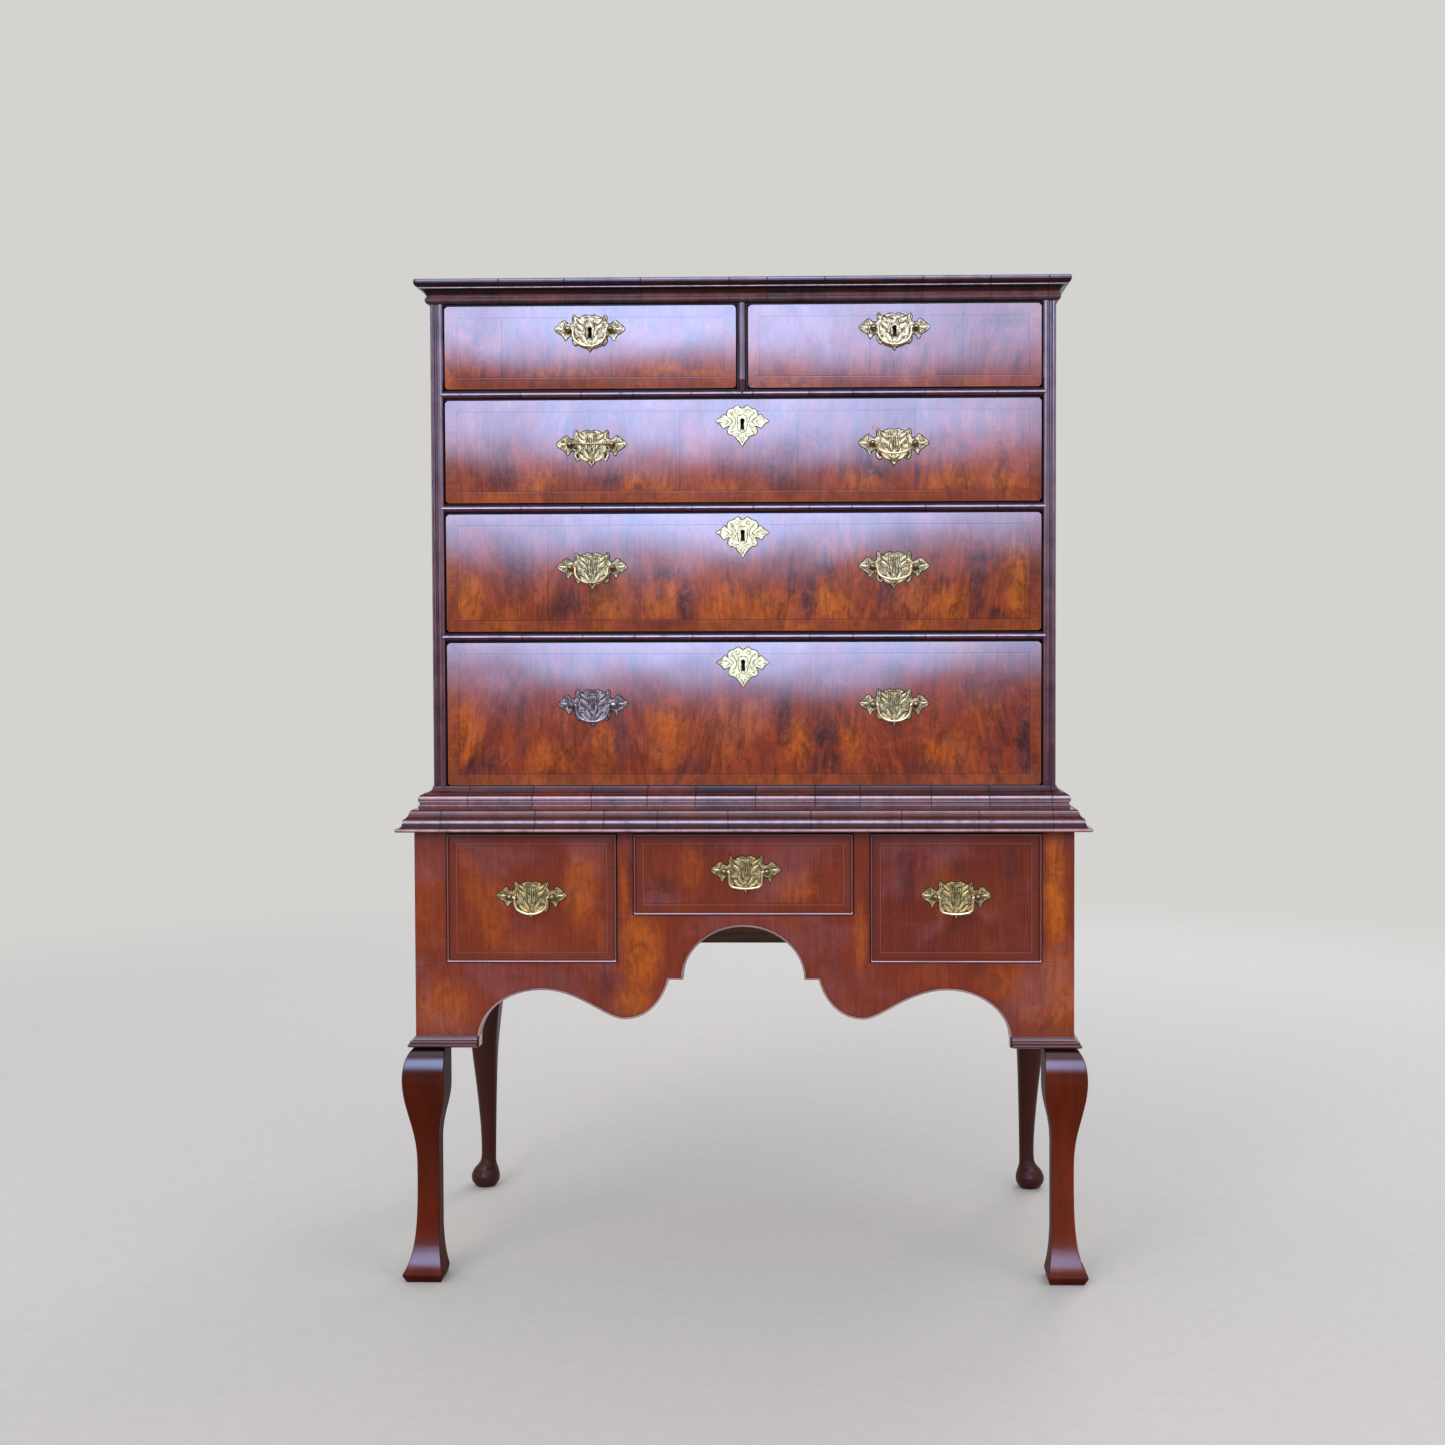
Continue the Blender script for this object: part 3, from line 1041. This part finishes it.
def grime_rim(mesh, loop, y, spread=0.0014, height=0.0005):
    """Wax and dirt gathered round a plate: a thin rim from under its edge onto the wood."""
    area = sum(a[0]*b[1] - b[0]*a[1] for a, b in zip(loop, loop[1:] + loop[:1]))
    turn = 1 if area > 0 else -1
    rows = []
    for i, here in enumerate(loop):
        before, after = Vector(loop[i - 1]), Vector(loop[(i + 1) % len(loop)])
        along = (after - before).normalized()
        out = Vector((along.y, -along.x))*turn
        near, far = Vector(here) - out*0.0003, Vector(here) + out*spread
        foot = y + SUNK/1000
        rows.append([Vector((near.x, foot, near.y)), Vector((near.x, y - height, near.y)),
                     Vector((far.x, foot, far.y))])
    sections(mesh, rows, False)


for drawer in UPPER + LOWER:
    body = drawer + "_drawer"
    lines, leaves = bmesh.new(), bmesh.new()
    handles = handles_of(drawer)
    # The short drawers' keyholes are in the middle of their handles
    keyed = drawer in ("top_left", "top_right")
    face = handles[0][1] + BALL_OUT
    plates = outlines(nodes[drawer + "_brasses"], face - PLATE)
    half = FLAT_BAIL if drawer in ("stand_centre", "stand_right") else ROUND_BAIL
    for x, y, z in handles:
        place = Vector((x, y + BALL_OUT - PLATE, z))
        plate_mark(lines, half + mirrored(half[:-1])[::-1], place, plates)
        if keyed:
            cut_line(lines, KEYHOLE, place - KEYHOLE_DROP, 1.3, ring=True)
        for points in LINES + ([] if keyed else FLUTES):
            both_sides(lines, points, place)
        for root, tip, width, bow in LEAVES:
            for flip in (1, -1):
                leaf(leaves, (flip*root[0], root[1]), (flip*tip[0], tip[1]), width, flip*bow, place)
            normal = Vector((root[1] - tip[1], tip[0] - root[0])).normalized()
            middle = (root[0] + tip[0])/2 + normal.x*bow, (root[1] + tip[1])/2 + normal.y*bow
            both_sides(lines, (root, middle, tip), place - VEIN_PROUD, 1.15)
    if len(handles) > 1:
        low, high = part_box(drawer + "_lock")
        keyhole_below = 0.024
        place = Vector(((low.x + high.x)/2, face - PLATE, high.z - keyhole_below))
        cut_line(lines, KEYHOLE, place, 1.3, ring=True)
        for points in SHIELD_LINES:
            both_sides(lines, points, place, 1.6)
        for x, z in RINGS:
            for middle in (x, -x):
                ring = [(middle + RING_RADIUS*math.cos(a), z + RING_RADIUS*math.sin(a))
                        for a in (2*math.pi*k/16 for k in range(16))]
                cut_line(lines, ring, place, 1.15, ring=True)
    for loop in plates:
        grime_rim(lines, loop, face)
    piece(drawer + "_cut_lines", lines, body, ink_material)
    piece(drawer + "_foliage", leaves, body, leaf_brass[drawer])

# ---- Floor ----

bpy.ops.mesh.primitive_circle_add(vertices=96, radius=5.0, fill_type="NGON", location=(0, 0, 0))
floor = bpy.context.object
floor.name = "floor"
f = Shader("floor")
grain = f.fleck(40, 40, 40, 3, 0.6)
f.colour = f.mix(grain, (0.44, 0.435, 0.42), (0.5, 0.49, 0.475))
f.finish(0.7, specular=0.2)
# Away from the object the floor fades into the backdrop
fade = f.length(f.vector(f.x, f.y - 0.8, 0.0)).ramp(1.9, 3.6)
see_through = f.output("ShaderNodeBsdfTransparent", "BSDF")
blend = f.node("ShaderNodeMixShader")
for socket, value in zip(blend.inputs, (fade, Value(f.tree, f.bsdf.outputs[0]), see_through)):
    put(socket, value)
put(f.tree.nodes["Material Output"].inputs["Surface"], Value(f.tree, blend.outputs[0]))
floor.data.materials.append(f.material)

# ---- Light: a bright band of sky in front, a soft sky above, and three soft lamps ----

world = bpy.data.worlds.new("world")
bpy.context.scene.world = world
world.use_nodes = True
# Only the expressions of a Shader are wanted here, on the world's own tree
w = Shader.__new__(Shader)
w.tree = world.node_tree
background = w.tree.nodes["Background"]
dx, dy, dz = w.parts(w.output("ShaderNodeTexCoord", "Generated"))
# Degrees above the horizon, and to the side of straight ahead
rise = dz.math("ARCSINE")*(180/math.pi)
turn = dx.math("ARCTAN2", dy*-1.0)*(180/math.pi)
side = (turn + 4.5)/12.5
side = (side*side*-0.5).math("EXPONENT")
band = w.shade((5.5, 8.0, 14.2), rise.ramp(0.0, 13.0)*rise.ramp(36.0, 20.0)*side)
in_front = (dy*-1.0).ramp(-0.1, 0.55)

# What lights the wood: an even sky and half of the bright band
even = w.mix(rise.ramp(-8.0, 4.0), (0.16, 0.15, 0.14), (0.88, 0.88, 0.9))
even = w.mix(rise.ramp(10.0, 60.0), even, (1.05, 1.05, 1.08))
light = w.vector_math("ADD", even, w.shade(band, 0.42))

# What polish and brass mirror: the pale backdrop, dim ground and trees in front, and the band
BACKDROP = (0.66, 0.65, 0.63)
ground = w.mix(rise.ramp(-3.0, 3.0), (0.055, 0.05, 0.045), (0.2, 0.2, 0.2))
ground = w.mix(rise.ramp(7.0, 34.0), ground, (1.3, 1.55, 2.3))
ground = w.shade(ground, rise.ramp(80.0, 58.0, 0.2, 1.0))
ground = w.mix(rise.ramp(38.0, 48.0)*rise.ramp(74.0, 60.0), ground, (5.4, 5.6, 6.6))
beside = turn.abs().ramp(18.0, 42.0)*rise.ramp(-6.0, 3.0)*rise.ramp(40.0, 20.0)
ground = w.mix(beside, ground, (1.6, 1.4, 1.95))
reflected = w.vector_math("ADD", w.mix(in_front, BACKDROP, ground), band)

path = w.node("ShaderNodeLightPath")
to_eye, glossy, glass = (Value(w.tree, path.outputs["Is " + ray + " Ray"])
                         for ray in ("Camera", "Glossy", "Transmission"))
seen = w.mix(glossy.high(glass), light, reflected)
seen = w.mix(to_eye, seen, BACKDROP)
put(background.inputs["Color"], seen)
background.inputs["Strength"].default_value = 1.0


def lamp(name, place, size, power, colour):
    data = bpy.data.lights.new(name, "AREA")
    set_all(data, shape="DISK", size=size, energy=power, color=colour)
    obj = add_object(name, data)
    aim = (Vector((0, 0, 0.8)) - Vector(place)).to_track_quat("-Z", "Y")
    obj.matrix_world = Matrix.Translation(place) @ aim.to_matrix().to_4x4()
    obj.visible_glossy = False


lamp("key", (-2.2, -4.0, 3.3), 2.2, 82, (1.0, 0.88, 0.72))
lamp("fill", (3.6, -3.4, 1.8), 2.4, 46, (1.0, 0.88, 0.74))
lamp("behind", (1.8, 3.8, 3.2), 2.4, 80, (1.0, 0.97, 0.92))
